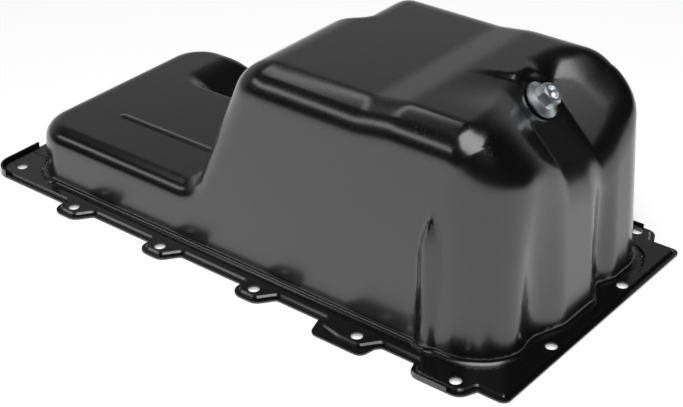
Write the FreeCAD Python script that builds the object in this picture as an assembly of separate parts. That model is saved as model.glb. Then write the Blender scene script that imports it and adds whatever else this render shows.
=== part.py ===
import FreeCAD, Part
import math
import os

from FreeCAD import Vector

# Engine oil pan, lying on its bolting flange with the sump upwards.
# Millimetres. +X runs from the shallow front to the deep rear, +Y across, +Z up.
# The origin is under the middle of the pan, at the underside of the flange rim.

# Sheet and flange levels
sheet = 1.5
pad_top = 4.0
pad_bend = 1.4
rim_width = 3.5

# Flange outline, measured at the edge of the raised pad
front_edge_x = -263.5
rear_edge_x = 263.5
pad_half_width = 119.0
front_corner_r = 14.0
rear_corner_r = 3.0

# Screw holes, each set out from the edge of the pad, and their tabs
hole_r = 4.5
side_hole_out = 5.7
side_hole_y = pad_half_width + side_hole_out
side_hole_pitch = 100.0
first_side_hole_x = -161.0
rear_tab_hole_in = 36.9
rear_tab_hole_x = rear_edge_x - rear_tab_hole_in
front_hole_in_x = 15.5
front_hole_in_y = 14.0
front_hole_x = front_edge_x + front_hole_in_x
front_hole_y = pad_half_width - front_hole_in_y
end_hole_in = 6.5
end_hole_x = rear_edge_x - end_hole_in
end_hole_y = 49.6
tab_reach = 8.0
tab_r = 7.0
tab_near = 12.0
tab_tip = 8.4
tab_far = 19.0
tab_root_r = 4.0
wide_tab_near = 31.0
wide_tab_drop = 4.0
wide_plate_near = 39.0
wide_plate_out = 15.3
rear_tab_near = 30.0
rear_tab_lead = 5.0

# Drawn form: root at the flange, walls drafted inwards on their way up
front_ledge = 26.5
rear_ledge = 12.0
side_ledge = 12.5
root_front_x = front_edge_x + front_ledge
root_rear_x = rear_edge_x - rear_ledge
root_side_y = pad_half_width - side_ledge
root_corner_r = 38.0
draft = 11.5
draft_height = 187.0
root_r = 4.5

# Heights and blends
tray_top = 52.0
crown_top = 171.0
slope_foot_x = -46.0
slope_head_x = 2.0
slope_foot_r = 13.0
slope_head_r = 34.0
tray_shoulder_r = 15.0
sump_shoulder_r = 26.0

# Step across the crown and the fall behind it
step_foot_x = 118.0
step_head_x = 146.0
step_rise = 4.0
step_r = 60.0
fall_run = 45.5
fall_x = root_rear_x - fall_run
fall_angle = 40.0
fall_r = 35.0

# Flutes down the rear wall: a groove with soft edges between slightly proud skirts
flutes_y = (-57.0, 32.0)
flute_depth = 10.0
flute_end_depth = -0.6
flute_edge_share = 0.1
flute_r = 9.0
flute_edge_r = 18.0
flute_half_width = 17.0
flute_skirt = 12.0
flute_proud = 2.2
flute_below_crown = 21.0
flute_top = crown_top - flute_below_crown

# Scoop in the far corner between tray and sump
scoop_near_y = 34.0
scoop_lip_x = -181.0
scoop_floor_x = -126.0
scoop_floor_z = 20.0
scoop_setback = 20.0
scoop_lip_r = 22.0
scoop_head_r = 30.0
scoop_r = 14.0
scoop_corner_r = 9.0
scoop_flare = 12.0

# Drain pocket, set out from the plug's seat: down its fall, to both sides and out of it
drain_tilt = 45.5
drain_swing = 11.4
drain_back = 8.2
drain_y = 13.4
drain_drop = 15.0
drain_centre = Vector(fall_x - drain_back, drain_y, crown_top - drain_drop)
facet_near = 31.0
facet_far = 30.0
facet_upper = 18.0
facet_depth = 40.0
facet_near_flare = 120.0
facet_far_flare = 15.0
facet_upper_flare = 58.0
facet_r = 13.0
plug_hole_r = 7.6

# Drain plug, its seal and the weld nut
plug_r = 7.0
running_gap = 0.05
collar_r = 14.5
collar_rim = 1.6
collar_rise = 2.2
collar_crown_r = 9.6
hex_flats = 16.0
hex_height = 8.5
hex_chamfer = 1.2
dish_r = 5.6
dish_depth = 3.0
plug_length = 20.0
plug_point = 1.5
seal_thick = 1.6
seal_r = 11.6
seal_gap = 0.35
nut_flats = 22.0
nut_height = 11.0
nut_chamfer = 1.5

# Small pressings
rib_x = 186.0
rib_sunk = 4.2
rib_y = -root_side_y + rib_sunk
rib_r = 5.0
rib_straight = 102.0
rib_top = 116.0
bead_y = -47.0
bead_front_x = -176.0
bead_short = 6.0
bead_rear_x = slope_foot_x - bead_short
bead_r = 3.0
bead_proud = 1.0
recess_in_x = 37.5
recess_in_y = 41.4
recess_x = rear_edge_x - recess_in_x
recess_y = pad_half_width - recess_in_y
recess_r = 30.8
recess_depth = 0.6
score_width = 1.4
score_depth = 0.5
corner_lip_z = 7.0
corner_lip_x = 14.0
corner_lip_run = 35.0
corner_lip_y = front_hole_y - corner_lip_run
tab_lip_z = 5.0
tab_lip_run = 30.6
tab_lip_x = rear_tab_hole_x - tab_lip_run

# Reach of the cutting bodies past the part
clear = 60.0
clear_r = 5.0
top_z = crown_top + clear
below_z = -20.0
far_out = 400.0
peak_z = crown_top + 20.0


def rounded_wire(corners, place):
    """Closed wire through corners (a, b, radius), with place turning (a, b) into a point."""
    points = [place(a, b) for a, b, _ in corners]
    arcs = []
    for i, (_, _, radius) in enumerate(corners):
        corner = points[i]
        back = (points[i - 1] - corner).normalize()
        ahead = (points[(i + 1) % len(points)] - corner).normalize()
        half = back.getAngle(ahead) / 2
        reach = radius / math.tan(half)
        middle = (back + ahead).normalize() * (radius / math.sin(half) - radius)
        arcs.append((corner + back * reach, corner + middle, corner + ahead * reach))
    edges = []
    for i, (start, middle, end) in enumerate(arcs):
        edges.append(Part.Arc(start, middle, end).toShape())
        edges.append(Part.LineSegment(end, arcs[(i + 1) % len(arcs)][0]).toShape())
    return Part.Wire(edges)


def flat(z):
    return lambda x, y: Vector(x, y, z)


def upright(y):
    return lambda x, z: Vector(x, y, z)


def grown(wire, distance):
    return wire.makeOffset2D(distance, 0, False, False, False) if distance else wire


def prism(wire, reach):
    return Part.Face(wire).extrude(reach)


def slab(wire, height):
    return prism(wire, Vector(0, 0, height))


def centre_of(edge):
    return edge.valueAt((edge.FirstParameter + edge.LastParameter) / 2)


# Drawn form


def side_profile(deep):
    """Corners of the space above tray and sump, seen from the side; deep lowers it for the inner skin."""
    slope = math.atan2(crown_top - tray_top, slope_head_x - slope_foot_x)
    shift = deep * math.tan(slope / 2)
    fall = math.radians(fall_angle)
    fall_end_x = root_rear_x + clear / 2
    fall_end_z = crown_top + step_rise - (fall_end_x - fall_x) * math.tan(fall) - deep / math.cos(fall)
    return [
        (root_front_x - clear, tray_top - deep, clear_r),
        (slope_foot_x + shift, tray_top - deep, slope_foot_r + deep),
        (slope_head_x + shift, crown_top - deep, slope_head_r - deep),
        (step_foot_x, crown_top - deep, step_r),
        (step_head_x, crown_top + step_rise - deep, step_r),
        (fall_x - deep * math.tan(fall / 2), crown_top + step_rise - deep, fall_r),
        (fall_end_x, fall_end_z, clear_r),
        (fall_end_x + clear, fall_end_z, clear_r),
        (fall_end_x + clear, top_z, clear_r),
        (root_front_x - clear, top_z, clear_r),
    ]


def root_wire(z):
    return rounded_wire([
        (root_front_x, -root_side_y, root_corner_r),
        (root_rear_x, -root_side_y, root_corner_r),
        (root_rear_x, root_side_y, root_corner_r),
        (root_front_x, root_side_y, root_corner_r),
    ], flat(z))


def wedge(low, high, base_z, place, reach):
    """Prism whose section leans inwards at both ends on its way up."""
    inset = draft * (peak_z - base_z) / draft_height
    corners = [place(low, base_z), place(high, base_z), place(high - inset, peak_z), place(low + inset, peak_z)]
    return prism(Part.makePolygon(corners + corners[:1]), reach)


def draw_block(base_z, deep):
    """Drafted block that the form is cut from: two crossed wedges, with a cone in each corner."""
    front = root_front_x + deep
    rear = root_rear_x - deep
    side = root_side_y - deep
    corner_r = root_corner_r - deep
    height = peak_z - base_z
    across = Vector(0, 2 * (side - corner_r), 0)
    along = Vector(rear - front - 2 * corner_r, 0, 0)
    length = wedge(front, rear, base_z, upright(corner_r - side), across)
    width = wedge(-side, side, base_z, lambda y, z: Vector(front + corner_r, y, z), along)
    cones = []
    for x in (front + corner_r, rear - corner_r):
        for y in (corner_r - side, side - corner_r):
            top_r = corner_r - draft * height / draft_height
            cones.append(Part.makeCone(corner_r, top_r, height, Vector(x, y, base_z)))
    return length.fuse([width] + cones).removeSplitter()


def share_of(value, low, high):
    """0 up to low, 1 from high on, and in proportion between."""
    return min(max((value - low) / (high - low), 0), 1)


def shoulder_radius(point):
    """The bend is tight round the tray and grows up the front slope, from blend to blend."""
    up = share_of(point.x, slope_foot_x - slope_foot_r, slope_head_x + slope_head_r)
    return tray_shoulder_r + (sump_shoulder_r - tray_shoulder_r) * up


def round_shoulder(solid, deep):
    """Round the one smooth loop where the walls meet the tray, the front slope and the crown."""
    rows = []
    for index, edge in enumerate(solid.Edges):
        faces = solid.ancestorsOfType(edge, Part.Face)
        wide = [face.BoundBox.YLength > 1.6 * root_side_y for face in faces]
        if centre_of(edge).z > tray_top - 2 * sheet and len(wide) == 2 and wide[0] != wide[1]:
            start = edge.valueAt(edge.FirstParameter)
            end = edge.valueAt(edge.LastParameter)
            rows.append((index + 1, shoulder_radius(start) - deep, shoulder_radius(end) - deep))
    page = FreeCAD.newDocument("shoulder")
    base = page.addObject("Part::Feature", "base")
    base.Shape = solid
    bend = page.addObject("Part::Fillet", "bend")
    bend.Base = base
    bend.Edges = rows
    page.recompute()
    rounded = bend.Shape.copy()
    FreeCAD.closeDocument(page.Name)
    return rounded


def root_edges(solid, base_z):
    """The loop where the walls stand on the flange."""
    loop = []
    for edge in solid.Edges:
        middle = centre_of(edge)
        inside = root_front_x - 1 < middle.x < root_rear_x + 1 and abs(middle.y) < root_side_y + 1
        if abs(middle.z - base_z) < 0.01 and inside:
            loop.append(edge)
    return loop


def flute_cutter(middle_y, deep):
    """Tapered groove down the rear wall: a short foot, then a depth that dies out below the shoulder."""
    lean = draft / draft_height
    half = flute_half_width
    skirt = half + flute_skirt
    out_x = root_rear_x + clear
    wires = []
    stations = (
        (pad_top - deep, flute_depth, root_r),
        (pad_top + root_r, flute_depth, 0),
        (flute_top, flute_end_depth, 0),
    )
    for z, depth, outward in stations:
        wall_x = root_rear_x - lean * (z - pad_top) + outward
        edge_x = wall_x - flute_edge_share * depth
        corners = [
            (out_x, middle_y - skirt, flute_proud),
            (wall_x + flute_proud, middle_y - skirt, flute_proud),
            (edge_x, middle_y - half, flute_edge_r),
            (wall_x - depth, middle_y, flute_r),
            (edge_x, middle_y + half, flute_edge_r),
            (wall_x + flute_proud, middle_y + skirt, flute_proud),
            (out_x, middle_y + skirt, flute_proud),
        ]
        wires.append(grown(rounded_wire(corners, flat(z)), deep))
    return Part.makeLoft(wires, True, True)


drain_turn = FreeCAD.Rotation(Vector(0, 0, 1), drain_swing) * FreeCAD.Rotation(Vector(0, 1, 0), drain_tilt)
drain_place = FreeCAD.Placement(drain_centre, drain_turn)


def pocket_cutter(deep):
    """Space over the drain facet: a section across its fall, crossed with one down it.

    It is turned on the facet so that its creases run straight along the pan.
    """
    across = prism(grown(rounded_wire([
        (-facet_near - facet_near_flare, facet_depth, clear_r),
        (-facet_near, 0, 2 * facet_r),
        (facet_far, 0, facet_r),
        (facet_far + facet_far_flare, facet_depth, clear_r),
        (facet_far + facet_far_flare, 2 * facet_depth, clear_r),
        (-facet_near - facet_near_flare, 2 * facet_depth, clear_r),
    ], lambda u, n: Vector(-far_out / 2, u, n)), deep), Vector(far_out, 0, 0))
    down = prism(grown(rounded_wire([
        (-facet_upper - facet_upper_flare, facet_depth, clear_r),
        (-facet_upper, 0, facet_r),
        (2 * clear, 0, clear_r),
        (2 * clear, 2 * facet_depth, clear_r),
        (-facet_upper - facet_upper_flare, 2 * facet_depth, clear_r),
    ], lambda s, n: Vector(s, -far_out / 2, n)), deep), Vector(0, far_out, 0))
    solid = across.common(down)
    turn = -math.degrees(math.atan(math.cos(math.radians(drain_tilt)) * math.tan(math.radians(drain_swing))))
    solid.Placement = FreeCAD.Placement(drain_centre, drain_turn * FreeCAD.Rotation(Vector(0, 0, 1), turn))
    return solid


def scoop_cutter(deep):
    """Open notch over the far side: down off the tray, along a low floor, up a set-back front wall."""
    slope_run = (slope_head_x - slope_foot_x) / (crown_top - tray_top)
    foot_x = slope_foot_x + scoop_setback - slope_run * (tray_top - scoop_floor_z)
    head_x = slope_head_x + scoop_setback
    side = prism(grown(rounded_wire([
        (scoop_lip_x - clear / 2, tray_top + clear_r, clear_r),
        (scoop_lip_x, tray_top, scoop_lip_r),
        (scoop_floor_x, scoop_floor_z, scoop_r),
        (foot_x, scoop_floor_z, scoop_r),
        (head_x, crown_top, scoop_head_r),
        (head_x + clear, crown_top + clear_r, clear_r),
        (head_x + clear, top_z, clear_r),
        (scoop_lip_x - clear / 2, top_z, clear_r),
    ], upright(0)), deep), Vector(0, far_out / 2, 0))
    foot_y = scoop_near_y + scoop_flare / 2 - deep
    head_y = foot_y - scoop_flare
    wall_z = top_z + clear
    beyond = prism(Part.makePolygon([
        Vector(-far_out, foot_y, 0),
        Vector(-far_out, far_out, 0),
        Vector(-far_out, far_out, wall_z),
        Vector(-far_out, head_y, wall_z),
        Vector(-far_out, foot_y, 0),
    ]), Vector(2 * far_out, 0, 0))
    solid = side.common(beyond)
    corner = []
    for edge in solid.Edges:
        middle = centre_of(edge)
        on_wall = abs(middle.y - foot_y + scoop_flare * middle.z / wall_z) < 0.05
        if on_wall and middle.z < crown_top - 5 and middle.x < head_x - 2 and middle.x > scoop_lip_x - 20:
            corner.append(edge)
    return solid.makeFillet(scoop_corner_r + deep, corner)


def rib(deep):
    """Upright bead low on the near wall, with a tapering head."""
    radius = rib_r - deep
    foot = Vector(rib_x, rib_y, pad_top - deep)
    straight = Part.makeCylinder(radius, rib_straight, foot)
    head = Part.makeCone(radius, radius / 3, rib_top - rib_straight, foot + Vector(0, 0, rib_straight))
    return straight.fuse(head)


def bead(deep):
    """Low bead along the tray, from its round front end into the foot of the slope."""
    radius = bead_r - deep
    axis_z = tray_top + bead_proud - bead_r
    start = Vector(bead_front_x, bead_y, axis_z)
    along = Part.makeCylinder(radius, bead_rear_x - bead_front_x, start, Vector(1, 0, 0))
    return along.fuse(Part.makeSphere(radius, start))


# Flange


def pad_outline(z):
    """Raised sealing pad with its screw tabs: the near side from front to rear, then its mirror."""
    tip_y = -side_hole_y - tab_reach
    side = -pad_half_width
    near = [(front_edge_x, side, front_corner_r)]
    for index in range(3):
        x = first_side_hole_x + index * side_hole_pitch
        near += [
            (x - tab_near, side, tab_root_r),
            (x - tab_near, tip_y, tab_r),
            (x + tab_tip, tip_y, tab_r),
            (x + tab_far, side, tab_r),
        ]
    x = first_side_hole_x + 3 * side_hole_pitch
    near += [
        (x - wide_tab_near, side, tab_root_r),
        (x - wide_tab_near, tip_y + wide_tab_drop, tab_root_r),
        (x - tab_near, tip_y, tab_r),
        (x + tab_tip, tip_y, tab_r),
        (x + tab_far, side, tab_r),
    ]
    x = rear_tab_hole_x
    near += [
        (x - rear_tab_near - rear_tab_lead, side, tab_root_r),
        (x - rear_tab_near, tip_y, tab_r),
        (x + tab_tip, tip_y, tab_r),
        (x + tab_near + rear_tab_lead / 2, side, tab_root_r),
        (rear_edge_x, side, rear_corner_r),
    ]
    mirrored = [(x, -y, r) for x, y, r in reversed(near)]
    return rounded_wire(near + mirrored, flat(z))


def wide_plate(side):
    """Flat skirt that the rim keeps round the wide tab; side is -1 near, 1 far."""
    x = first_side_hole_x + 3 * side_hole_pitch
    tip_y = side * (side_hole_y + wide_plate_out)
    return slab(rounded_wire([
        (x - wide_plate_near, side * pad_half_width, tab_root_r),
        (x - wide_plate_near + tab_r, tip_y, tab_r),
        (x + tab_far - tab_root_r, tip_y, tab_r),
        (x + tab_far, side * pad_half_width, tab_root_r),
    ], flat(0)), sheet)


def form(deep):
    """All that one skin of the sheet encloses: deep 0 is the outer skin, deep = sheet the inner one."""
    base_z = pad_top - deep
    floor_z = below_z if deep else 0
    space = prism(rounded_wire(side_profile(deep), upright(-far_out / 2)), Vector(0, far_out, 0))
    solid = draw_block(base_z, deep).cut(space).Solids[0]
    solid = round_shoulder(solid, deep)
    pad = slab(grown(pad_outline(floor_z), -deep), base_z - floor_z)
    solid = solid.fuse(pad).removeSplitter()
    solid = solid.makeFillet(root_r + deep, root_edges(solid, base_z))
    for middle_y in flutes_y:
        solid = solid.cut(flute_cutter(middle_y, deep))
    solid = solid.cut(pocket_cutter(deep))
    solid = solid.cut(scoop_cutter(deep))
    return solid.fuse([rib(deep), bead(deep)])


def pad_top_edges(solid):
    """The outline of the raised pad, where the sheet bends down to the rim."""
    loop = []
    for edge in solid.Edges:
        middle = centre_of(edge)
        outside = abs(middle.y) > pad_half_width - 1 or abs(middle.x) > rear_edge_x - 1
        corner = middle.x < front_edge_x + front_corner_r and abs(middle.y) > pad_half_width - front_corner_r
        if abs(middle.z - pad_top) < 0.01 and (outside or corner):
            loop.append(edge)
    return loop


def rim():
    """Thin rim round the pad, one step lower, with its turned-up lips at four corners."""
    outline = grown(pad_outline(0), rim_width)
    plate = slab(outline, sheet)
    wall = slab(outline, corner_lip_z).cut(slab(grown(outline, -sheet), corner_lip_z))
    lips = []
    for side in (-1, 1):
        low_y = corner_lip_y if side > 0 else -corner_lip_y - far_out
        low_corner = Vector(front_edge_x - corner_lip_x, low_y, 0)
        corner = Part.makeBox(2 * corner_lip_x, far_out, corner_lip_z, low_corner)
        lips.append(wall.common(corner))
        edge_y = side_hole_y + hole_r
        low_y = edge_y if side > 0 else -edge_y - far_out
        tab = Part.makeBox(tab_lip_run, far_out, tab_lip_z, Vector(tab_lip_x, low_y, 0))
        lips.append(wall.common(tab))
        lips.append(wide_plate(side))
    return plate.fuse(lips)


def screw_holes():
    places = []
    for side in (-1, 1):
        for index in range(4):
            places.append((first_side_hole_x + index * side_hole_pitch, side * side_hole_y))
        places.append((rear_tab_hole_x, side * side_hole_y))
        places.append((front_hole_x, side * front_hole_y))
        places.append((end_hole_x, side * end_hole_y))
    return [Part.makeCylinder(hole_r, 30, Vector(x, y, -10)) for x, y in places]


def score(start, end):
    """Shallow line pressed into the pad between two plan points."""
    run = Vector(end[0] - start[0], end[1] - start[1], 0)
    line = Part.makeBox(run.Length, score_width, 2 * score_depth, Vector(0, -score_width / 2, -score_depth))
    turn = FreeCAD.Rotation(Vector(1, 0, 0), run)
    line.Placement = FreeCAD.Placement(Vector(start[0], start[1], pad_top), turn)
    return line


def pad_marks():
    """Round recess by the rear column and the scored lines beside the corner holes."""
    disc = Part.makeCylinder(recess_r, 2 * recess_depth, Vector(recess_x, recess_y, pad_top - recess_depth))
    keep = slab(grown(root_wire(0), root_r + 0.5), 3 * pad_top)
    marks = [disc.cut(keep)]
    line_x = rear_tab_hole_x - 13
    for side in (-1, 1):
        knee = (front_hole_x + 6.5, side * (front_hole_y - 23))
        marks.append(score((front_edge_x + 3, side * (front_hole_y - 24)), knee))
        marks.append(score(knee, (front_hole_x + 23, side * (front_hole_y - 1))))
        marks.append(score((line_x, side * (side_hole_y - 10)), (line_x, side * side_hole_y)))
    return marks


def pan_shell():
    outer = form(0)
    outer = outer.makeChamfer(pad_bend, pad_top_edges(outer))
    outer = outer.fuse(rim())
    shell = outer.cut(form(sheet))
    bore = Part.makeCylinder(plug_hole_r, 4 * sheet, Vector(0, 0, -3 * sheet))
    bore.Placement = drain_place
    return shell.cut(screw_holes() + pad_marks() + [bore])


# Drain pieces, all set out from the drain facet: zero is the outer face of the sheet


def hexagon(flats, z, height):
    radius = flats / math.sqrt(3)
    angles = [k * math.pi / 3 for k in range(7)]
    points = [Vector(radius * math.cos(angle), radius * math.sin(angle), z) for angle in angles]
    return prism(Part.makePolygon(points), Vector(0, 0, height))


def turned(points):
    """Solid of revolution about the plug's axis from a half section of (radius, height) points."""
    corners = [Vector(radius, 0, height) for radius, height in points]
    return Part.Face(Part.makePolygon(corners + corners[:1])).revolve(Vector(0, 0, 0), Vector(0, 0, 1), 360)


def drain_plug():
    seat = seal_thick
    crown = seat + collar_rim + collar_rise
    head = crown + hex_height
    body = turned([
        (0, -plug_length),
        (plug_r - running_gap - plug_point, -plug_length),
        (plug_r - running_gap, -plug_length + plug_point),
        (plug_r - running_gap, seat),
        (collar_r, seat),
        (collar_r, seat + collar_rim),
        (collar_crown_r, crown),
        (0, crown),
    ])
    corner_r = hex_flats / math.sqrt(3)
    cap = turned([
        (0, seat),
        (corner_r + 1, seat),
        (corner_r + 1, head - hex_chamfer - 0.5),
        (corner_r - 2 * hex_chamfer, head),
        (dish_r, head),
        (dish_r - 1, head - dish_depth),
        (0, head - dish_depth),
    ])
    return body.fuse(hexagon(hex_flats, seat + 1, head - seat - 1).common(cap))


def plug_seal():
    inner_r = plug_r + seal_gap
    return turned([(inner_r, 0), (seal_r, 0), (seal_r, seal_thick), (inner_r, seal_thick)])


def drain_nut():
    corner_r = nut_flats / math.sqrt(3)
    cone = turned([
        (plug_r, -sheet),
        (corner_r + 1, -sheet),
        (corner_r + 1, -sheet - nut_height + nut_chamfer),
        (corner_r - nut_chamfer, -sheet - nut_height),
        (plug_r, -sheet - nut_height),
    ])
    return hexagon(nut_flats, -sheet - nut_height, nut_height).common(cone)


def placed(solid):
    solid.Placement = drain_place
    return solid


nodes = {
    "pan_shell": pan_shell(),
    "drain_nut": placed(drain_nut()),
    "plug_seal": placed(plug_seal()),
    "drain_plug": placed(drain_plug()),
}
os.makedirs("parts", exist_ok=True)
for name, solid in nodes.items():
    solid.exportStep(f"parts/{name}.step")
    box = solid.BoundBox
    print(name, len(solid.Solids), solid.isValid(), round(solid.Volume), len(solid.Faces),
          [round(v, 2) for v in (box.XMin, box.XMax, box.YMin, box.YMax, box.ZMin, box.ZMax)])
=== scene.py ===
# %% [markdown]
# # A stamped engine oil pan
# The pan is one sheet of steel, drawn into a shallow tray and a deep sump and painted black.
# It lies on its bolting flange with the sump upwards. The imported model is loaded first.

# %% Load the frame
import bmesh
import bpy
import math
import numpy as np
from mathutils import Matrix, Vector


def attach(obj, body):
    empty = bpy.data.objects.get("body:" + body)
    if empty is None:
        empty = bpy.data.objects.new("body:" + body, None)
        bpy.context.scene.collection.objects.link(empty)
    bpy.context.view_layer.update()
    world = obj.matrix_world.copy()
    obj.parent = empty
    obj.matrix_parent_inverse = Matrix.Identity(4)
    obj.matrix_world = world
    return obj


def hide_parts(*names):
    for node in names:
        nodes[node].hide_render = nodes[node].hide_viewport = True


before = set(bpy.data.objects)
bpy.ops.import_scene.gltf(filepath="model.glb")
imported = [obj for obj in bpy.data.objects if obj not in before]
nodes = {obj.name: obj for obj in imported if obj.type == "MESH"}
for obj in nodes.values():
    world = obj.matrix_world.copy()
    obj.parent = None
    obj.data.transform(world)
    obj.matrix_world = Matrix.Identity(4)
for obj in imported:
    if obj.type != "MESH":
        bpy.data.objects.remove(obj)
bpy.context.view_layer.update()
MM = 0.001

# %% [markdown]
# ## Writing materials as sums
# A material is a tree of nodes. One small class wraps an output socket, so that
# `1 - mask * 0.5` in Python adds the Math nodes for it. Every other node comes from
# `node`, which takes the type, its settings and what goes into its sockets.

# %% A socket that can be used in sums


class Value:
    """An output socket of a node tree."""

    def __init__(self, tree, socket=None):
        self.tree = tree
        self.socket = socket

    def node(self, kind, settings=None, inputs=None, output=0):
        """A new node of any kind, and its output socket as a Value."""
        made = self.tree.nodes.new(kind)
        for name, setting in (settings or {}).items():
            setattr(made, name, setting)
        for name, value in (inputs or {}).items():
            if isinstance(value, Value):
                self.tree.links.new(value.socket, made.inputs[name])
            else:
                made.inputs[name].default_value = value
        return Value(self.tree, made.outputs[output] if made.outputs else None)

    def math(self, operation, first, second):
        return self.node("ShaderNodeMath", {"operation": operation}, {0: first, 1: second})

    def __add__(self, other):
        return self.math("ADD", self, other)

    __radd__ = __add__

    def __sub__(self, other):
        return self.math("SUBTRACT", self, other)

    def __rsub__(self, other):
        return self.math("SUBTRACT", other, self)

    def __mul__(self, other):
        return self.math("MULTIPLY", self, other)

    __rmul__ = __mul__

    def above(self, low, high):
        """0 below low, 1 above high, and smooth between."""
        settings = {"interpolation_type": "SMOOTHSTEP"}
        inputs = {"Value": self, "From Min": low, "From Max": high}
        return self.node("ShaderNodeMapRange", settings, inputs)

    def mix(self, first, second):
        """The colour first where this is 0 and second where it is 1."""
        inputs = {0: self, 6: first, 7: second}
        return self.node("ShaderNodeMix", {"data_type": "RGBA"}, inputs, 2)


def new_material(name):
    material = bpy.data.materials.new(name)
    material.use_nodes = True
    material.node_tree.nodes.clear()
    return material, Value(material.node_tree)


def finish_material(tree, shader):
    tree.node("ShaderNodeOutputMaterial", {}, {"Surface": shader})


def place_of(tree):
    return tree.node("ShaderNodeTexCoord", {}, {}, 3)


def noise(tree, place, scale, detail=2.0):
    inputs = {"Vector": place, "Scale": scale, "Detail": detail}
    return tree.node("ShaderNodeTexNoise", {}, inputs)


def bump(tree, height, distance, strength):
    inputs = {"Height": height, "Distance": distance, "Strength": strength}
    return tree.node("ShaderNodeBump", {}, inputs)


print("nodes can be written as sums")

# %% [markdown]
# ## Black paint on steel
# The paint is a thin, fairly glossy black. Close to, it has the fine ripple of a sprayed
# coat and a few grains of dust, and its gloss changes a little over hand-sized patches.
# All of it reads the object's own coordinates, in metres, so it sits still in any view.

# %% Paint
paint, tree = new_material("black_paint")
place = place_of(tree)
ripple = noise(tree, place, 900.0, 3.0)
patches = noise(tree, place, 14.0)
grains = tree.node("ShaderNodeTexVoronoi", {}, {"Vector": place, "Scale": 420.0})
dust = 1 - grains.above(0.08, 0.2)
where_dust = noise(tree, place, 60.0, 1.0).above(0.5, 0.75)
specks = dust * where_dust
tone = (specks * 0.5).mix((0.004, 0.004, 0.0045, 1), (0.07, 0.07, 0.073, 1))
height = ripple * 0.5 + specks * 0.5
paint_shader = tree.node("ShaderNodeBsdfPrincipled", {}, {
    "Base Color": tone,
    "Roughness": 0.2 + patches * 0.08 + specks * 0.3,
    "Specular IOR Level": 0.9,
    "Coat Weight": 0.4,
    "Coat Roughness": 0.14,
    "Normal": bump(tree, height, 0.00006, 0.5),
})
finish_material(tree, paint_shader)
print("paint with", len(paint.node_tree.nodes), "nodes")

# %% [markdown]
# ## The drain pieces' finishes
# The plug is bright zinc with a faint grain, the nut is plain steel and the seal is matt
# rubber.

# %% Zinc, steel and rubber
zinc, tree = new_material("bright_zinc")
place = place_of(tree)
cloud = noise(tree, place, 220.0, 4.0)
fine = noise(tree, place, 2600.0, 2.0)
finish_material(tree, tree.node("ShaderNodeBsdfPrincipled", {}, {
    "Base Color": cloud.mix((0.80, 0.84, 0.88, 1), (0.93, 0.96, 0.99, 1)),
    "Metallic": 1.0,
    "Roughness": 0.29 + cloud * 0.1,
    "Normal": bump(tree, fine, 0.00003, 0.4),
}))

plain_steel, tree = new_material("plain_steel")
place = place_of(tree)
scale_marks = noise(tree, place, 300.0, 5.0)
finish_material(tree, tree.node("ShaderNodeBsdfPrincipled", {}, {
    "Base Color": scale_marks.mix((0.28, 0.28, 0.29, 1), (0.46, 0.46, 0.47, 1)),
    "Metallic": 1.0,
    "Roughness": 0.32 + scale_marks * 0.2,
    "Normal": bump(tree, scale_marks, 0.00008, 0.5),
}))

seal_rubber, tree = new_material("seal_rubber")
place = place_of(tree)
grain = noise(tree, place, 1800.0, 3.0)
finish_material(tree, tree.node("ShaderNodeBsdfPrincipled", {}, {
    "Base Color": grain.mix((0.012, 0.012, 0.013, 1), (0.03, 0.03, 0.031, 1)),
    "Roughness": 0.62 + grain * 0.2,
    "Normal": bump(tree, grain, 0.00005, 0.5),
}))
print("three finishes for the drain pieces")

# %% [markdown]
# ## The drawn form as a field
# The pan is deep-drawn: a press pulls one flat sheet into the shape, so no wall meets the
# next at a hard corner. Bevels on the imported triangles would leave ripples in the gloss,
# so the form is written as a field instead. A field is a number for each point in space,
# 0 on the sheet's outer face, negative inside the form and positive outside. Two fields
# join through a rounded maximum where the form ends, and through a rounded minimum where
# one form stands on another. All the lengths in these cells are millimetres, and they
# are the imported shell's.

# %% Blends between fields


def rounded(first, second, radius, together=0.0):
    """What both forms share, with a round outer edge of the given radius.

    together is the cosine of the angle between the directions in which the fields grow.
    """
    one = first + radius
    two = second + radius
    on_arc = (one > two * together) & (two > one * together)
    square = np.maximum(one ** 2 + two ** 2 - 2 * together * one * two, 0)
    arc = np.sqrt(square / (1 - together ** 2)) - radius
    return np.where(on_arc, arc, np.maximum(first, second))


def fillet(first, second, radius, together=0.0):
    """Both forms together, with a round hollow where they meet."""
    return -rounded(-first, -second, radius, together)


def share(value, low, high):
    """0 below low, 1 above high, and smooth between."""
    part = np.clip((value - low) / (high - low), 0, 1)
    return part * part * (3 - 2 * part)


def cosine(degrees):
    return math.cos(math.radians(degrees))


def sine(degrees):
    return math.sin(math.radians(degrees))


def plane(x, z, foot, angle):
    """Field of a plane across the pan that climbs at an angle from its foot (x, z)."""
    return (z - foot[1]) * cosine(angle) - (x - foot[0]) * sine(angle)


at_corner = float(rounded(np.array(0.0), np.array(0.0), 5))
print("an edge of radius 5 stands back from its square corner by", round(at_corner, 2), "mm")

# %% [markdown]
# ## Tray, slope, crown and fall
# Seen from the side, the top of the pan is a chain of planes: the low tray, the steep
# front slope, the crown with a small step across it, and the fall at the rear. Each one
# rolls into the next on its own radius. On the near side of the drain plug the crown dips
# a little, and it drops towards the near rear corner.

# %% The top
TRAY_TOP, CROWN_TOP, STEP_RISE = 52.0, 171.0, 4.0
SLOPE_FOOT_X, SLOPE_RUN = -46.0, 48.0
SLOPE = math.degrees(math.atan2(CROWN_TOP - TRAY_TOP, SLOPE_RUN))
STEP_START_X, STEP_END_X = 118.0, 146.0
FALL_HEAD_X, FALL = 206.0, 40.0
SLOPE_FOOT_R, SLOPE_HEAD_R, FALL_HEAD_R = 19.0, 34.0, 35.0
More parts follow.
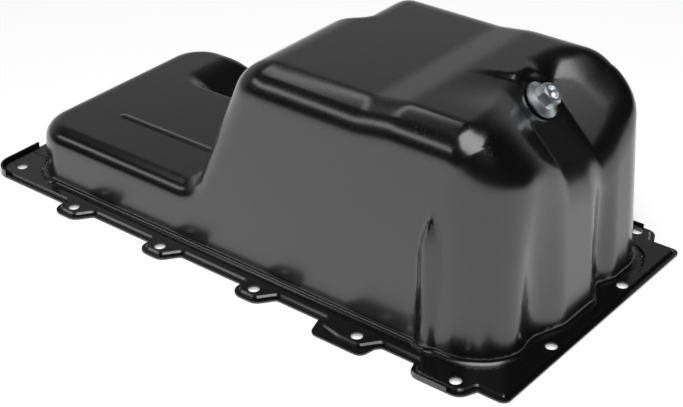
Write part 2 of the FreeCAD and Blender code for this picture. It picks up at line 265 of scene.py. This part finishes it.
# The dish deepens over these spans of x and y, and ends at a lip that runs askew.
DISH_DEPTH, DISH_ALONG, DISH_ACROSS = 3.5, (148, 190), (-60, -5)
LIP_X, LIP_Y, LIP_OUT, LIP_HALF = 155, -4, (-0.346, 0.938), 4.5
# The near rear corner drops over these spans of x and -y.
CORNER_DROP, DROP_ALONG, DROP_ACROSS = 12, (204, 250), (20, 85)


def soft_ramp(value, reach=5.0):
    """0 before 0, then value itself, with a soft start."""
    start = np.clip(value + reach, 0, 2 * reach) ** 2 / (4 * reach)
    return np.where(value > reach, value, start)


def top_field(x, y, z):
    """Tray, front slope, crown and fall."""
    climb = soft_ramp(x - STEP_START_X) - soft_ramp(x - STEP_END_X)
    step = climb * STEP_RISE / (STEP_END_X - STEP_START_X)
    past_lip = (y - LIP_Y) * LIP_OUT[1] + (x - LIP_X) * LIP_OUT[0]
    dish = DISH_DEPTH * share(x, *DISH_ALONG) * share(y, *DISH_ACROSS)
    dish = dish * (1 - share(past_lip, -LIP_HALF, LIP_HALF))
    drop = CORNER_DROP * share(x, *DROP_ALONG) * share(-y, *DROP_ACROSS)
    slope = plane(x, z, (SLOPE_FOOT_X, TRAY_TOP), SLOPE)
    low = fillet(z - TRAY_TOP, slope, SLOPE_FOOT_R, cosine(SLOPE))
    high = rounded(low, z - CROWN_TOP - step + dish, SLOPE_HEAD_R, cosine(SLOPE))
    fall = plane(x, z + drop, (FALL_HEAD_X, CROWN_TOP + STEP_RISE), -FALL)
    return rounded(high, fall, FALL_HEAD_R, cosine(FALL))


print("front slope climbs at", round(SLOPE, 1), "degrees")

# %% [markdown]
# ## The walls
# A drawn wall leans inwards a little, so that the part comes off its punch. The corners
# are cones, because their radius shrinks with the lean, and the near rear corner opens
# out again towards the top. The rear wall is a row of rounded columns with two flutes
# between them, which stiffen it, so it is moved in by a wave that dies out upwards.

# %% Walls with flutes
PAD_TOP = 4.02
LEAN = 11.5 / 187  # millimetres inwards for each millimetre of height
SIDE, FRONT, REAR = 106.5, -237.0, 251.5
CORNER_R = 38.0
# The near rear corner's radius is larger by the first number at its foot, and by the
# second one more at its top. It grows over these spans of -y and z.
CORNER_MORE, CORNER_ACROSS, CORNER_UP = (4, 12), (0, 40), (60, 150)
# Each end column stands back: how far, on which side, and over which span of y.
COLUMNS = ((5.5, -1, (20, 66)), (3.0, 1, (20, 55)))
# Each flute has a depth, a middle in y and half a width.
FLUTES = ((4.5, -52, 30), (8.0, 33, 21))
WAVE_FOOT_Z, WAVE_RUN = 8, 140
COLUMN_AT_TOP = 0.35
FLUTE_HOLD = 1.3  # the flutes keep their full depth for the lowest part of the run


def swell(value, middle, half_width):
    """A single smooth wave, 1 in the middle and 0 beyond half_width."""
    return np.cos(np.clip((value - middle) / half_width, -1, 1) * math.pi) * 0.5 + 0.5


def rear_wave(y, z):
    """How far the rear wall stands in from its outermost line."""
    columns = sum(back * share(side * y, *span) for back, side, span in COLUMNS)
    flutes = sum(depth * swell(y, middle, half_width) for depth, middle, half_width in FLUTES)
    low = 1 - np.clip((z - WAVE_FOOT_Z) / WAVE_RUN, 0, 1)
    columns = columns * (COLUMN_AT_TOP + (1 - COLUMN_AT_TOP) * low)
    return columns + flutes * np.minimum(low * FLUTE_HOLD, 1.0)


def wall_field(x, y, z):
    """The upright walls, and how squarely they face the rear."""
    inset = LEAN * (z - PAD_TOP)
    across = np.abs(y) - SIDE + inset
    along = np.maximum(FRONT + inset - x, x - REAR + inset + rear_wave(y, z))
    more = CORNER_MORE[0] + CORNER_MORE[1] * share(z, *CORNER_UP)
    radius = CORNER_R - inset + (x > 0) * share(-y, *CORNER_ACROSS) * more
    out_along = np.maximum(along + radius, 0)
    out_across = np.maximum(across + radius, 0)
    facing = out_along / np.maximum(np.hypot(out_along, out_across), 0.001)
    return rounded(across, along, radius), facing * (x > 0)


def root_gap(x, y):
    """Distance outside the straight-sided outline in which the walls stand on the flange."""
    return rounded(np.abs(y) - SIDE, np.maximum(FRONT - x, x - REAR), CORNER_R)


print("walls lean", round(math.degrees(math.atan(LEAN)), 1), "degrees")

# %% [markdown]
# ## Pocket and scoop
# The drain plug needs a flat seat, so the press sinks a pocket into the rear fall: a
# tilted facet, a ramp to the near side, a wall on the far side that catches the light and
# a low one behind the plug. The scoop makes room for a part of the car beside the tray.
# Both are spaces that are taken out of the form, and their rims are as soft as the
# photograph shows.

# %% Spaces that are cut out
DRAIN = Vector((197.8, 13.4, 156.0))
OUT = Vector((0.699179, 0.140979, 0.700909))
DOWN = Vector((OUT.z, 0, -OUT.x)).normalized()
ACROSS = OUT.cross(DOWN)
# Each side of the pocket climbs at an angle, from a distance off the plug's axis. The
# radius of the hollow at its foot and the cosine for the fillet there come last.
RAMP_ANGLE, RAMP_START, RAMP_HOLLOW = 14, 27, (20, 0.97)
FAR_ANGLE, FAR_START, FAR_HOLLOW = 39, 23, (5, 0.78)
BACK_ANGLE, BACK_START, BACK_HOLLOW = 34.6, 20, (13, 0.82)
BACK_SKEW = 0.5
# The rim's radius, and what the far side, the top and the lower end add to it.
RIM_R, RIM_FAR, RIM_HIGH, RIM_LOW = 22, 16, -17, 14
RIM_COSINE, RIM_COSINE_HIGH = 0.63, -0.4
FAR_SPAN, HIGH_SPAN, LOW_SPAN = (8, 30), (2, 20), (10, 45)
# The scoop's front falls to its floor, its back is parallel to the front slope, and its
# inner side leans: the two last numbers are how far, and over which height.
SCOOP_FRONT_X, SCOOP_FALL, SCOOP_FLOOR, SCOOP_BACK_X = -181, 30.2, 20, -38.9
SCOOP_SIDE_Y, SCOOP_SIDE_LEAN, SCOOP_SIDE_HEIGHT = 40, 12, 231
SCOOP_HOLLOW_R, SCOOP_SIDE_R = 14, 12
SCOOP_RIM, SCOOP_RIM_MORE, SCOOP_RIM_ALONG = 5, 9, (-70, 0)


def pocket_side(out, past, angle):
    """Field of a side of the pocket, which climbs from where past is 0."""
    return out * cosine(angle) - past * sine(angle)


def pocket_field(x, y, z):
    """Space over the drain seat, positive inside, with its rim's radius and cosine."""
    off = (x - DRAIN.x, y - DRAIN.y, z - DRAIN.z)
    out, down, over = (sum(off[i] * axis[i] for i in range(3)) for axis in (OUT, DOWN, ACROSS))
    behind = (-down - BACK_START + BACK_SKEW * over) / math.hypot(1, BACK_SKEW)
    space = fillet(out, pocket_side(out, -over - RAMP_START, RAMP_ANGLE), *RAMP_HOLLOW)
    space = fillet(space, pocket_side(out, over - FAR_START, FAR_ANGLE), *FAR_HOLLOW)
    space = fillet(space, pocket_side(out, behind, BACK_ANGLE), *BACK_HOLLOW)
    low = share(down, *LOW_SPAN)
    far_side = share(over, *FAR_SPAN)
    high = share(-down, *HIGH_SPAN) * (1 - far_side)
    rim = RIM_R + RIM_FAR * far_side * (1 - low) + RIM_HIGH * high + RIM_LOW * low
    return space, rim, RIM_COSINE + RIM_COSINE_HIGH * high


def scoop_field(x, y, z):
    """Space beside the tray, positive inside, with its rim's radius."""
    front = plane(x, z, (SCOOP_FRONT_X, TRAY_TOP), -SCOOP_FALL)
    floor = fillet(front, z - SCOOP_FLOOR, SCOOP_HOLLOW_R, cosine(SCOOP_FALL))
    back = plane(x, z, (SCOOP_BACK_X, SCOOP_FLOOR), SLOPE)
    floor = fillet(floor, back, SCOOP_HOLLOW_R, cosine(SLOPE))
    inner_side = y - SCOOP_SIDE_Y + SCOOP_SIDE_LEAN * z / SCOOP_SIDE_HEIGHT
    rim = SCOOP_RIM + SCOOP_RIM_MORE * share(x, *SCOOP_RIM_ALONG)
    return fillet(floor, inner_side, SCOOP_SIDE_R), rim


print("drain seat tilts", round(math.degrees(math.acos(OUT.z)), 1), "degrees")

# %% [markdown]
# ## The whole form
# The walls and the top meet in the shoulder, which is tight round the tray, wider round
# the sump and widest at the near rear corner. Then the spaces come out, and the rib on
# the near wall and the bead along the tray are added. Last, the form is set on its pad.

# %% The form's field
TRAY_SHOULDER, SUMP_SHOULDER, SHOULDER_GROWS = 15, 26, (-59, 36)
NEAR_CORNER_MORE, FAR_CORNER_MORE = 16, 4
RIB_X, RIB_Y, RIB_R, RIB_ROOT = 186, -102.8, 5.5, 6
RIB_FADE, RIB_FADES = 8.5, (80, 124)
BEAD_FRONT, BEAD_REAR, BEAD_Y, BEAD_Z, BEAD_R, BEAD_ROOT = -176, -50, -47, 50, 3, 1.6
WALL_ROOT = 4.5
LEAN_STEP, LEAN_LIMITS, SLOPE_STEP = 0.1, (-0.5, 0.8), 0.05


def form_field(x, y, z):
    """The whole drawn form on its pad."""
    top = top_field(x, y, z)
    wall, facing = wall_field(x, y, z)
    corner = 4 * facing ** 2 * (1 - facing ** 2)
    shoulder = TRAY_SHOULDER + (SUMP_SHOULDER - TRAY_SHOULDER) * share(x, *SHOULDER_GROWS)
    shoulder = shoulder + (NEAR_CORNER_MORE * (y < 0) + FAR_CORNER_MORE * (y > 0)) * corner
    top_lean = top_field(x + LEAN_STEP, y, z) - top_field(x - LEAN_STEP, y, z)
    top_lean = top_lean / (2 * LEAN_STEP)
    form = rounded(wall, top, shoulder, np.clip(facing * top_lean, *LEAN_LIMITS))
    form = rounded(form, *pocket_field(x, y, z))
    form = rounded(form, *scoop_field(x, y, z))
    rib = np.hypot(x - RIB_X, y - RIB_Y) - RIB_R + RIB_FADE * share(z, *RIB_FADES)
    form = fillet(form, rib, RIB_ROOT)
    past_ends = np.maximum(BEAD_FRONT - x, 0) + np.maximum(x - BEAD_REAR, 0)
    bead = np.sqrt(past_ends ** 2 + (y - BEAD_Y) ** 2 + (z - BEAD_Z) ** 2) - BEAD_R
    form = fillet(form, bead, BEAD_ROOT)
    return fillet(form, z - PAD_TOP, WALL_ROOT)


def outward(where):
    """Direction in which the field grows at each point, of length near 1."""
    steps = np.eye(3) * SLOPE_STEP
    grown = [form_field(*(where + step).T) - form_field(*(where - step).T) for step in steps]
    return np.stack(grown, axis=1) / (2 * SLOPE_STEP)


over_crown = np.array([[80.0], [0.0], [181.0]])
print("field 10 mm over the crown:", round(float(form_field(*over_crown)[0]), 2), "mm")

# %% [markdown]
# ## A grid dropped on the form
# The field needs a mesh to show it. A plain grid is dropped on the form like a cloth,
# its border is drawn down and closed, and the Remesh modifier turns that into even quads
# 3 mm wide. This is quicker than drawing faces by hand, and it has no poles or slivers.

# %% Rough form of even quads
SPACING = 3.0
LEVEL_STEP = 1.5
HALF_LENGTH, HALF_WIDTH = 260.0, 118.0
BASE_Z = -15


def points_of(form):
    """Places of a bmesh's points in millimetres."""
    return np.array([vert.co[:] for vert in form.verts]) / MM


def only(kind, items):
    """Those of an operator's results that are points, or faces."""
    return [item for item in items if isinstance(item, kind)]


def open_edges(form):
    return [edge for edge in form.edges if edge.is_boundary]


rough = bmesh.new()
counts = [int(2 * half / SPACING) for half in (HALF_LENGTH, HALF_WIDTH)]
stretch = Matrix.Diagonal((HALF_LENGTH * MM, HALF_WIDTH * MM, 1, 1))
bmesh.ops.create_grid(rough, size=1, matrix=stretch, x_segments=counts[0], y_segments=counts[1])
x, y, _ = points_of(rough).T
height = np.full(len(x), PAD_TOP)
for level in np.arange(PAD_TOP, CROWN_TOP + STEP_RISE + 2, LEVEL_STEP):
    height = np.where(form_field(x, y, np.full(len(x), level)) < 0, level, height)
for vert, z in zip(rough.verts, height):
    vert.co.z = z * MM
drawn_down = bmesh.ops.extrude_edge_only(rough, edges=open_edges(rough))["geom"]
for vert in only(bmesh.types.BMVert, drawn_down):
    vert.co.z = BASE_Z * MM
bmesh.ops.holes_fill(rough, edges=open_edges(rough), sides=0)
bmesh.ops.recalc_face_normals(rough, faces=rough.faces)
rough_mesh = bpy.data.meshes.new("rough_form")
rough.to_mesh(rough_mesh)
rough.free()
rough_form = bpy.data.objects.new("rough_form", rough_mesh)
bpy.context.scene.collection.objects.link(rough_form)
even = rough_form.modifiers.new("even quads", "REMESH")
even.mode = "VOXEL"
even.voxel_size = SPACING * MM
graph = bpy.context.evaluated_depsgraph_get()
even_mesh = bpy.data.meshes.new_from_object(rough_form.evaluated_get(graph))
skin = bmesh.new()
skin.from_mesh(even_mesh)
bpy.data.objects.remove(rough_form)
bpy.data.meshes.remove(rough_mesh)
bpy.data.meshes.remove(even_mesh)
print("rough form:", len(skin.verts), "points")

# %% [markdown]
# ## Settling the points on the sheet
# Each point now slides along the field's slope until the field is 0 there, as a sculptor
# would press clay onto a core. Between rounds the points are evened out with their
# neighbours, and then they settle again, so that the quads keep their size.

# %% Settle the points
LONGEST_SLIDE = 2.5
LEAST_SLOPE = 0.2
APRON = 7.5  # how far the skin reaches over the flange, outside the walls' outline
NEARLY_FLAT = 0.4


def place_points(points, where):
    for vert, place in zip(points, where):
        vert.co = Vector(place) * MM


def settle(form, rounds):
    """Move the points onto the sheet's outer face and return how far off they are."""
    where = points_of(form)
    for _ in range(rounds):
        grow = outward(where)
        size = np.maximum((grow ** 2).sum(axis=1), LEAST_SLOPE)
        slide = np.clip(form_field(*where.T) / size, -LONGEST_SLIDE, LONGEST_SLIDE)
        where = where - grow * slide[:, None]
    place_points(form.verts, where)
    return round(float(np.abs(form_field(*where.T)).max()), 4)


def delete_where(form, chosen):
    """Delete the points for which chosen, given the root gap and the height, is true."""
    x, y, z = points_of(form).T
    gone = [vert for vert, out in zip(form.verts, chosen(root_gap(x, y), z)) if out]
    bmesh.ops.delete(form, geom=gone, context="VERTS")


delete_where(skin, lambda gap, z: z < 1)
print("off by at most", settle(skin, 6), "mm")
axes = {"use_axis_x": True, "use_axis_y": True, "use_axis_z": True}
for _ in range(3):
    inside = [vert for vert in skin.verts if not vert.is_boundary]
    bmesh.ops.smooth_vert(skin, verts=inside, factor=0.5, **axes)
    left = settle(skin, 3)
delete_where(skin, lambda gap, z: (gap > APRON) & (z < PAD_TOP + NEARLY_FLAT))
print("off by at most", left, "mm;", len(skin.faces), "faces up to the flange")

# %% [markdown]
# ## Bores
# The drain hole goes through the seat, and the two screw holes at the rear reach under
# the foot of the wall. Round each one the quads are divided twice, the middle is taken
# out, and the edge that is left is drawn to the circle.

# %% Round holes
DRAIN_BORE_R, SCREW_BORE_R = 7.6, 4.5
END_HOLE_X, END_HOLE_Y, END_HOLE_Z = 257.0, 49.6, 4.0
UP = Vector((0, 0, 1))
bores = [(DRAIN, OUT, DRAIN_BORE_R)]
for side in (-1, 1):
    bores.append((Vector((END_HOLE_X, side * END_HOLE_Y, END_HOLE_Z)), UP, SCREW_BORE_R))
BORE_DEPTH = 6
DIVIDED = (9, 6)  # how far round a bore the quads are divided, first and second
EDGE_REACH = 3


def off_axis(vert, middle, axis):
    """A point's offset from a bore's axis, and its distance along it, in millimetres."""
    gap = vert.co / MM - middle
    return gap - axis * gap.dot(axis), abs(gap.dot(axis))


def near_bore(vert, middle, axis, reach):
    away, along = off_axis(vert, middle, axis)
    return away.length < reach and along < BORE_DEPTH


for middle, axis, radius in bores:
    for reach in DIVIDED:
        close = [edge for edge in skin.edges
                 if all(near_bore(vert, middle, axis, radius + reach) for vert in edge.verts)]
        bmesh.ops.subdivide_edges(skin, edges=close, cuts=1, use_grid_fill=True)
    gone = [vert for vert in skin.verts if near_bore(vert, middle, axis, radius)]
    bmesh.ops.delete(skin, geom=gone, context="VERTS")
    edge_points = [vert for vert in skin.verts
                   if vert.is_boundary and near_bore(vert, middle, axis, radius + EDGE_REACH)]
    for vert in edge_points:
        away, _ = off_axis(vert, middle, axis)
        vert.co -= (away - away.normalized() * radius) * MM
    print("bore of radius", radius, "has", len(edge_points), "points on its edge")

# %% [markdown]
# ## The sheet's thickness
# The sheet is 1.5 mm thick. Its inner face is a copy of the outer one, moved in along
# the field's own direction, which stays even round the tight bends where a mesh's
# averaged normals would not. The two faces are then joined along all their borders.

# %% Inner face
SHEET = 1.5
side_mark = skin.faces.layers.int.new("side")
for face in skin.faces:
    face[side_mark] = 1
copied = bmesh.ops.duplicate(skin, geom=skin.verts[:] + skin.edges[:] + skin.faces[:])
inner_points = only(bmesh.types.BMVert, copied["geom"])
inner_faces = only(bmesh.types.BMFace, copied["geom"])
where = np.array([vert.co[:] for vert in inner_points]) / MM
grow = outward(where)
grow /= np.linalg.norm(grow, axis=1)[:, None]
place_points(inner_points, where - SHEET * grow)
bmesh.ops.reverse_faces(skin, faces=inner_faces)
for face in inner_faces:
    face[side_mark] = -1
vert_map = copied["vert_map"]
pairs = {key: vert_map[key] for key in list(vert_map.keys()) if key.is_valid}
rims = []
for edge in open_edges(skin):
    first, second = edge.verts
    if first in pairs and second in pairs and edge.link_faces[0][side_mark] == 1:
        rims.append((second, first, pairs[first], pairs[second]))
for corners in rims:
    skin.faces.new(corners)
print("inner face of", len(inner_faces), "quads, joined by", len(rims), "along the borders")

# %% [markdown]
# ## The flange
# The flange is flat, with tabs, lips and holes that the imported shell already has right.
# A copy of it is merged, the drawn form is taken off it, and the skin overlaps what is
# left by a few millimetres, a fiftieth of a millimetre higher.

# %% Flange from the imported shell
PACKED_TOP, PACKED_UNDER = 4.0, 2.5  # the pad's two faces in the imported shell
TAKEN_OFF = 5.5
LEEWAY = 0.01
CREASE = math.radians(34)


def is_drawn(gap, z):
    """Whether points belong to the drawn form and not to the pad's two faces."""
    between = (z > PACKED_UNDER + LEEWAY) & (z < PACKED_TOP - LEEWAY)
    return (gap < TAKEN_OFF) & ((z > PACKED_TOP + LEEWAY) | between)


flange = bmesh.new()
flange.from_mesh(nodes["pan_shell"].data)
bmesh.ops.remove_doubles(flange, verts=flange.verts, dist=0.00001)
delete_where(flange, is_drawn)
flange_mesh = bpy.data.meshes.new("flange")
flange.to_mesh(flange_mesh)
print("flange:", len(flange.faces), "faces")
flange.free()
skin.from_mesh(flange_mesh)
bpy.data.meshes.remove(flange_mesh)
for face in skin.faces:
    face.smooth = True
for edge in skin.edges:
    drawn_edge = any(face[side_mark] for face in edge.link_faces)
    if not drawn_edge and edge.calc_face_angle(0) > CREASE:
        edge.smooth = False

# %% [markdown]
# ## True normals
# A glossy black surface shows every error in its normals. On the drawn form the normal
# is known exactly, because it is the direction in which the field grows, so it is
# written to the mesh. The flange keeps the normals that Blender works out.

# %% Write the normals


def dressed(mesh, name, material, body, node_names):
    """A new object that stands for CAD nodes and rides on their body."""
    piece = bpy.data.objects.new(name, mesh)
    bpy.context.scene.collection.objects.link(piece)
    mesh.materials.clear()
    mesh.materials.append(material)
    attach(piece, body)
    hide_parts(*node_names)
    return piece


def read_all(items, name, kind=int, width=1):
    """One value, or width of them, from each item of a mesh."""
    values = np.zeros(len(items) * width, dtype=kind)
    items.foreach_get(name, values)
    return values if width == 1 else values.reshape(-1, width)


mesh = bpy.data.meshes.new("pan")
skin.to_mesh(mesh)
skin.free()
face_side = read_all(mesh.attributes["side"].data, "value")
corner_side = np.repeat(face_side, read_all(mesh.polygons, "loop_total"))[:, None]
grow = outward(read_all(mesh.vertices, "co", float, 3) / MM)
grow /= np.maximum(np.linalg.norm(grow, axis=1), 1e-9)[:, None]
exact = grow[read_all(mesh.loops, "vertex_index")] * corner_side
worked_out = read_all(mesh.corner_normals, "vector", float, 3)
normals = np.where(corner_side != 0, exact, worked_out)
mesh.normals_split_custom_set(normals.tolist())
mesh.attributes.remove(mesh.attributes["side"])
pan = dressed(mesh, "pan", paint, "pan", ["pan_shell"])
print("pan:", len(mesh.vertices), "points,", len(mesh.polygons), "faces")

# %% [markdown]
# ## Plug, nut and seal
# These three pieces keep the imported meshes, so they only need their finishes.

# %% Give the drain pieces their finishes
finishes = {"drain_plug": zinc, "drain_nut": plain_steel, "plug_seal": seal_rubber}
for name, material in finishes.items():
    nodes[name].data.materials.clear()
    nodes[name].data.materials.append(material)
print("plug, nut and seal have their finishes")

# %% [markdown]
# ## Floor, lights and camera
# The floor is white card, and it is what the upright walls mirror. Above the horizon the
# studio is dark, apart from a dim wall behind the tray, a large soft box overhead and two
# narrow ones to the left of the camera, which draw the two bright lines along the near
# shoulder.

# %% Floor
floor_shape = bmesh.new()
bmesh.ops.create_grid(floor_shape, x_segments=2, y_segments=2, size=30.0)
floor_mesh = bpy.data.meshes.new("floor")
floor_shape.to_mesh(floor_mesh)
floor_shape.free()
floor = bpy.data.objects.new("floor", floor_mesh)
bpy.context.scene.collection.objects.link(floor)
WHITE = (1, 1, 1, 1)
card, tree = new_material("white_card")
seen = tree.node("ShaderNodeLightPath", {}, {}, 0)
glossy = tree.node("ShaderNodeLightPath", {}, {}, 3)
lit = tree.node("ShaderNodeBsdfDiffuse", {}, {"Color": (0.9, 0.9, 0.9, 1)})
glow = tree.node("ShaderNodeEmission", {}, {"Color": WHITE, "Strength": (seen + glossy) * 0.45})
finish_material(tree, tree.node("ShaderNodeAddShader", {}, {0: lit, 1: glow}))
floor_mesh.materials.append(card)
print("floor is", round(floor.dimensions.x), "m wide")

# %% Studio
BEHIND_TRAY = (-0.77, 0.64, 0.0)
DARK, DIM_WALL = 0.012, 0.4
world = bpy.data.worlds.new("studio")
bpy.context.scene.world = world
world.use_nodes = True
world.node_tree.nodes.clear()
sky = Value(world.node_tree)
direction = sky.node("ShaderNodeTexCoord", {}, {}, 0)
dot_product = {"operation": "DOT_PRODUCT"}
left = sky.node("ShaderNodeVectorMath", dot_product, {0: direction, 1: BEHIND_TRAY}, 1)
rise = sky.node("ShaderNodeSeparateXYZ", {}, {0: direction}, 2)
wall_glow = left.above(0.2, 0.95) * (1 - rise.above(0.15, 0.85))
seen = sky.node("ShaderNodeLightPath", {}, {}, 0)
strength = seen + (1 - seen) * (DARK + wall_glow * DIM_WALL)
background = sky.node("ShaderNodeBackground", {}, {"Color": WHITE, "Strength": strength})
sky.node("ShaderNodeOutputWorld", {}, {"Surface": background})


LAMP_AIM, LAMP_DISTANCE = Vector((0, 0, 0.08)), 2.4


def soft_box(name, towards, width, height, power):
    """An area lamp that looks at the pan from a direction."""
    lamp = bpy.data.lights.new(name, "AREA")
    lamp.shape = "RECTANGLE"
    lamp.size = width
    lamp.size_y = height
    lamp.energy = power
    holder = bpy.data.objects.new(name, lamp)
    bpy.context.scene.collection.objects.link(holder)
    back = Vector(towards).normalized()
    holder.location = LAMP_AIM + back * LAMP_DISTANCE
    holder.rotation_euler = (-back).to_track_quat("-Z", "Y").to_euler()


soft_box("thin_strip", (-0.55, 0.10, 0.83), width=1.8, height=0.20, power=3)
soft_box("wide_strip", (-0.55, -0.67, 0.52), width=1.6, height=0.36, power=4)
soft_box("key", (0.30, -0.20, 0.93), width=1.9, height=1.9, power=42)
print("three soft boxes and a dim wall")

# %% [markdown]
# The camera stands where the photographer's did: to the right of the near side and well
# above it, with a long lens. Its place was worked out from the spacing of the screw holes.

# %% Camera
camera_data = bpy.data.cameras.new("camera")
camera_data.lens = 82.49
camera_data.sensor_width = 36
camera = bpy.data.objects.new("camera", camera_data)
bpy.context.scene.collection.objects.link(camera)
stand = Vector((0.72235, -0.84465, 0.66374))
aim = Vector((0.01175, 0.01454, 0.004))
back = (stand - aim).normalized()
right = UP.cross(back).normalized()
turn = Matrix.Rotation(math.radians(-1.085), 3, back)
turned = Matrix((turn @ right, turn @ back.cross(right), back)).transposed()
camera.matrix_world = Matrix.Translation(stand) @ turned.to_4x4()
bpy.context.scene.camera = camera
bpy.context.scene.view_settings.view_transform = "Standard"
print("camera stands", round((stand - aim).length, 3), "m away")
